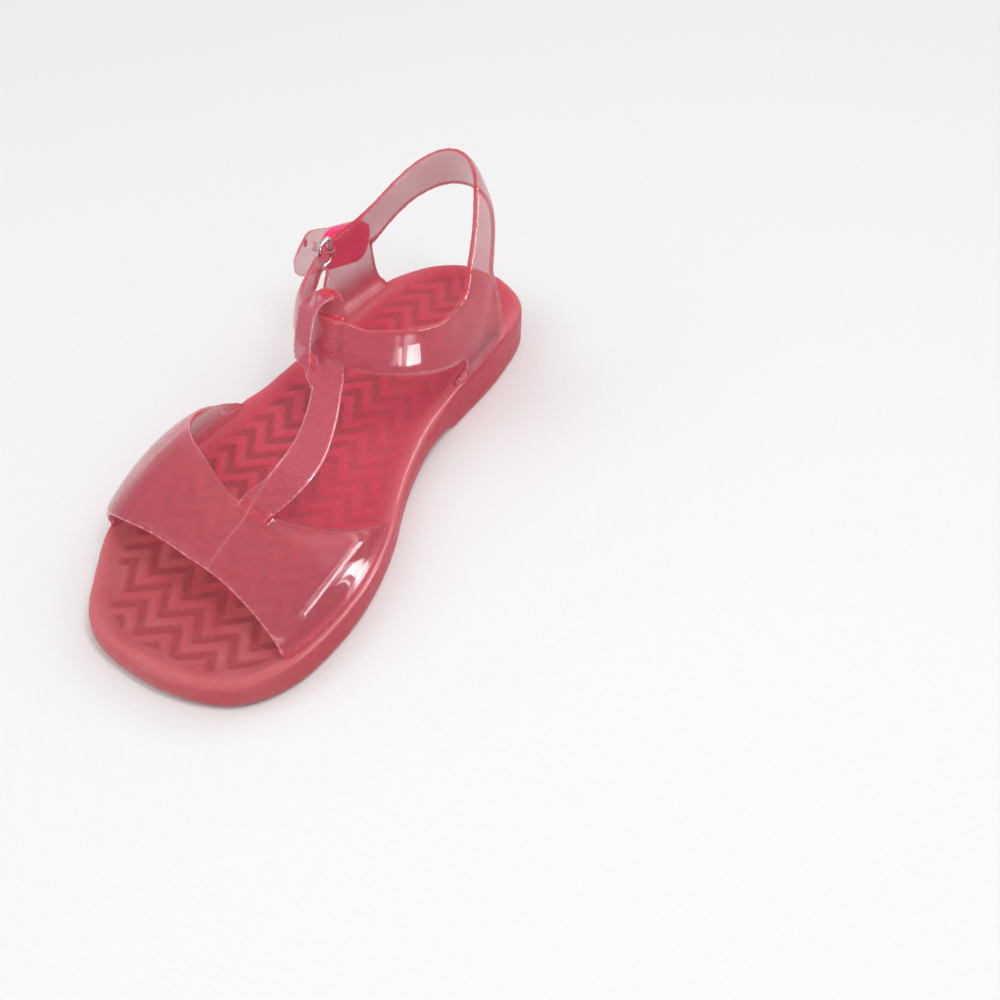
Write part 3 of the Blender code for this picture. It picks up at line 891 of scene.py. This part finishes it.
@dataclass
class Upper:
    """Straps, collar and rim, moulded in one."""

    voxel: float = 0.48 * MM
    smoothing: int = 5
    seam: Tuple[Vector, Vector] = (Vector((0.0068, -0.0595, 0.0)), Vector((0.0062, -0.034, 0.0)))
    seam_width: float = 0.55 * MM
    seam_height: float = 0.20 * MM
    seam_span: Tuple[float, float] = (-0.062, -0.024)
    seam_floor: float = 0.018
    rim_drop: float = 0.45 * MM
    bare_drop: float = 1.7 * MM
    rim_inward: float = 0.4 * MM
    bare_inward: float = 1.0 * MM
    foot_height: float = 12.0 * MM
    foot_low: float = 5.5 * MM
    finish: ClearJelly = field(default_factory=lambda: ClearJelly("clear_jelly"))

    def shape(self) -> Piece:
        """Meshes the upper finely and evenly, and evens out the faces of its straps.

        Returns:
            The undressed piece.
        """
        piece = Piece("moulded_upper", "upper")
        piece.remesh(self.voxel)
        piece.smooth(self.smoothing)
        thin = step(piece.neighbours_mean(piece.thickness(8 * MM), 2), 4.6 * MM, 3.2 * MM)
        piece.relax(thin, 60)
        return piece

    def seam_ridge(self, points: np.ndarray, normals: np.ndarray) -> np.ndarray:
        """The fine mould line up the middle of the band.

        Args:
            points: The upper's points.
            normals: Their normals.

        Returns:
            0 off the line and 1 on it.
        """
        a, b = self.seam
        across = np.abs(points[:, 0] - (a.x + (b.x - a.x) * (points[:, 1] - a.y) / (b.y - a.y)))
        front, rear = self.seam_span
        on_band = (points[:, 1] > front) & (points[:, 1] < rear) & (points[:, 2] > self.seam_floor)
        return np.clip(1.0 - across / self.seam_width, 0.0, 1.0) * on_band * np.clip(normals[:, 2], 0.0, 1.0)

    def dress(self, piece: Piece, border: Border) -> Piece:
        """Sinks the rim into the sole's border, draws the mould line and gives the upper its finish.

        Args:
            piece: The finely meshed upper.
            border: The sole's edge.

        Returns:
            The finished piece.
        """
        points, normals = piece.points(), piece.normals()
        inset, level = border.locate(points)
        above = points[:, 2] - level
        sunk = step(above, 2.7 * MM, 1.6 * MM)
        bare = step(border.openness(points), 0.0, 0.3) * sunk
        ridge = self.seam_ridge(points, normals)
        points += normals * (ridge * self.seam_height)[:, None]
        points[:, 2] -= sunk * self.rim_drop + bare * self.bare_drop
        past_waist = np.clip(np.abs(points[:, 1]) - 60 * MM, 0.0, 1.0) * np.sign(points[:, 1])
        inward = -np.stack([points[:, 0], past_waist])
        inward = inward / np.maximum(np.hypot(*inward), 1e-6)
        points[:, :2] += (inward * (sunk * self.rim_inward + bare * self.bare_inward)).T
        piece.move(points)
        piece.relax(sunk, 30)
        piece.mark(Mark.DEPTH, piece.neighbours_mean(piece.thickness(14 * MM), 3))
        reach = self.foot_low + (self.foot_height - self.foot_low) * step(points[:, 1], -5 * MM, 20 * MM)
        piece.mark(Mark.FOOT, step(above / reach, 1.0, 0.1) * step(inset, 14 * MM, 7 * MM))
        collar = step(above, 16 * MM, 20 * MM) * step(points[:, 1], -2 * MM, 4 * MM)
        collar = collar * step(normals[:, 2], -0.1, 0.3)
        strap = step(points[:, 1], -35 * MM, -27 * MM) * step(points[:, 1], 10 * MM, 2 * MM)
        strap = strap * step(points[:, 0], 22 * MM, 15 * MM) * step(above, 9 * MM, 14 * MM)
        lug = step(points[:, 0], -8 * MM, -12 * MM) * step(above, 16 * MM, 20 * MM)
        lug = lug * step(points[:, 1], 3 * MM, 7 * MM) * step(points[:, 1], 36 * MM, 30 * MM)
        piece.mark(Mark.STRAP, np.maximum(strap, lug))
        crest = piece.crest(150.0 - 40.0 * strap, 460.0 - 150.0 * strap)
        crest = crest * (1.0 - 0.9 * collar * (1.0 - strap))
        piece.mark(Mark.CREST, np.maximum(crest, 0.45 * ridge))
        piece.finish(self.finish.material(), "upper")
        return piece


@dataclass
class Fastening:
    """Closing tab, wire ring and the two cloth pads."""

    voxel: float = 0.36 * MM
    pad_voxel: float = 0.22 * MM
    pile: float = 0.10 * MM
    jelly: ClearJelly = field(default_factory=lambda: ClearJelly("tab_jelly", alpha_thin=0.36))
    wire: BrightWire = field(default_factory=lambda: BrightWire("bright_wire"))
    loops: PileCloth = field(default_factory=lambda: PileCloth("loop_cloth"))
    hooks: PileCloth = field(default_factory=lambda: PileCloth("hook_cloth", cell=0.7 * MM))

    def build_tab(self) -> Piece:
        """Builds the closing tab.

        Returns:
            The finished piece.
        """
        piece = Piece("soft_closing_tab", "closing_tab")
        piece.remesh(self.voxel)
        piece.smooth(4)
        piece.mark(Mark.DEPTH, piece.neighbours_mean(piece.thickness(12 * MM), 3))
        for kind in (Mark.FOOT, Mark.STRAP):
            piece.mark(kind, np.zeros(len(piece.object.data.vertices)))
        piece.mark(Mark.CREST, piece.crest(200.0, 600.0))
        piece.finish(self.jelly.material(), "closing_tab")
        return piece

    def build_ring(self) -> Piece:
        """Builds the wire ring.

        Returns:
            The finished piece.
        """
        piece = Piece("wire_ring", "ring")
        piece.modify("SUBSURF", levels=2, render_levels=2, subdivision_type="CATMULL_CLARK")
        piece.finish(self.wire.material(), "ring")
        return piece

    def build_pad(self, name: str, node: str, cloth: PileCloth, seed: int) -> Piece:
        """Builds one cloth pad with its pile.

        Args:
            name: Name of the piece.
            node: CAD node that it stands for.
            cloth: Its finish.
            seed: Seed of the pile's scatter.

        Returns:
            The finished piece.
        """
        piece = Piece(name, node)
        piece.remesh(self.pad_voxel)
        points, normals = piece.points(), piece.normals()
        scatter = np.random.default_rng(seed).random(len(points))
        points += normals * ((scatter - 0.6) * self.pile)[:, None]
        piece.move(points)
        piece.finish(cloth.material(), node)
        return piece

    def build(self) -> List[Piece]:
        """Builds all pieces of the fastening.

        Returns:
            The tab, the ring, the loop pad and the hook pad.
        """
        return [
            self.build_tab(),
            self.build_ring(),
            self.build_pad("loop_cloth_pad", "loop_pad", self.loops, 3),
            self.build_pad("hook_cloth_pad", "hook_pad", self.hooks, 5),
        ]


@dataclass
class Studio:
    """Pale floor, soft lamps and the camera."""

    eye: Vector = field(default_factory=lambda: Vector((0.174228, -0.231224, 0.283077)))
    right: Vector = field(default_factory=lambda: Vector((0.87311312, 0.48706713, 0.02095433)))
    up: Vector = field(default_factory=lambda: Vector((-0.36144486, 0.61788303, 0.69826798)))
    lens: float = 54.0
    sensor: float = 36.0
    daylight: float = 0.66
    floor_size: float = 6.0
    floor_drop: float = 0.2 * MM

    def build_floor(self) -> None:
        """Lays the floor."""
        bpy.ops.object.select_all(action="DESELECT")
        bpy.ops.mesh.primitive_plane_add(size=self.floor_size, location=(0.0, 0.0, -self.floor_drop))
        floor = bpy.context.object
        floor.name = "studio_floor"
        bpy.ops.object.transform_apply(location=True, rotation=True, scale=True)
        floor.data.materials.append(Paper("pale_paper").material())

    def build_lamp(self, job: Light, place: Vector, aim: Vector, size: Tuple[float, float], power: float,
                   roll: float = 0.0) -> None:
        """Hangs one area lamp.

        Args:
            job: What the lamp is for.
            place: Where it hangs.
            aim: Where it points.
            size: Its width and height.
            power: Its power in watts.
            roll: Its turn about the line of aim, in degrees.
        """
        lamp = bpy.data.lights.new(job.value, "AREA")
        lamp.shape = "RECTANGLE"
        lamp.size, lamp.size_y = size
        lamp.energy = power
        holder = bpy.data.objects.new(job.value, lamp)
        holder.location = place
        holder.rotation_mode = "QUATERNION"
        aimed = (aim - place).to_track_quat("-Z", "Y")
        holder.rotation_quaternion = aimed @ Quaternion((0.0, 0.0, 1.0), math.radians(roll))
        if job is Light.PANE:
            holder.visible_diffuse = holder.visible_camera = holder.visible_transmission = False
        if job is Light.WINDOW:
            holder.visible_glossy = False
        bpy.context.scene.collection.objects.link(holder)

    def build_world(self) -> None:
        """Sets the pale surroundings and a plain colour transform."""
        settings = bpy.context.scene.view_settings
        settings.view_transform = "Standard"
        settings.look = "None"
        world = bpy.data.worlds.new("studio")
        world.use_nodes = True
        ground = world.node_tree.nodes["Background"]
        ground.inputs["Color"].default_value = (1.0, 1.0, 1.0, 1.0)
        ground.inputs["Strength"].default_value = self.daylight
        bpy.context.scene.world = world

    def build_camera(self) -> None:
        """Sets the camera at the photograph's angle."""
        camera = bpy.data.cameras.new("camera")
        camera.lens = self.lens
        camera.sensor_width = self.sensor
        camera.clip_start, camera.clip_end = 0.01, 20.0
        holder = bpy.data.objects.new("camera", camera)
        back = self.right.cross(self.up)
        turn = Matrix((self.right, self.up, back)).transposed().to_4x4()
        holder.matrix_world = Matrix.Translation(self.eye) @ turn
        bpy.context.scene.collection.objects.link(holder)
        bpy.context.scene.camera = holder

    def build(self) -> None:
        """Builds the whole studio."""
        self.build_camera()
        self.build_floor()
        self.build_world()
        target = Vector((0.0, 0.0, 0.03))
        strap = Vector((0.019, 0.015, 0.037))
        band = Vector((0.030, -0.045, 0.015))
        self.build_lamp(Light.PANE, Vector((0.071, 0.000, 0.010)), strap, (0.021, 0.019), 0.052)
        self.build_lamp(Light.PANE, Vector((0.065, -0.018, 0.011)), strap, (0.0035, 0.019), 0.007)
        self.build_lamp(Light.PANE, Vector((0.210, 0.105, 0.140)), band, (0.28, 0.042), 1.20, -16.0)
        self.build_lamp(Light.WINDOW, Vector((0.22, -0.10, 0.60)), target, (0.10, 0.30), 1.2)
        self.build_lamp(Light.FILL, Vector((-0.5, -0.5, 0.7)), target, (0.6, 0.6), 1.6)
        self.build_lamp(Light.BACK, Vector((0.2, 0.7, 0.6)), target, (0.6, 0.4), 1.0)


def main() -> None:
    """Builds every piece in order and reports each one."""
    logging.basicConfig(level=logging.INFO, format="%(name)s: %(message)s")
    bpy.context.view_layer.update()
    sole, upper = Sole(), Upper()
    sole_piece, upper_piece = sole.shape(), upper.shape()
    border = Border.read(sole_piece.points(), upper_piece.points())
    pieces = [sole.dress(sole_piece, border), upper.dress(upper_piece, border), *Fastening().build()]
    for piece in pieces:
        log.info("%s for %s: %d points", piece.object.name, piece.node, len(piece.object.data.vertices))
    Studio().build()


if __name__ == "__main__":
    main()
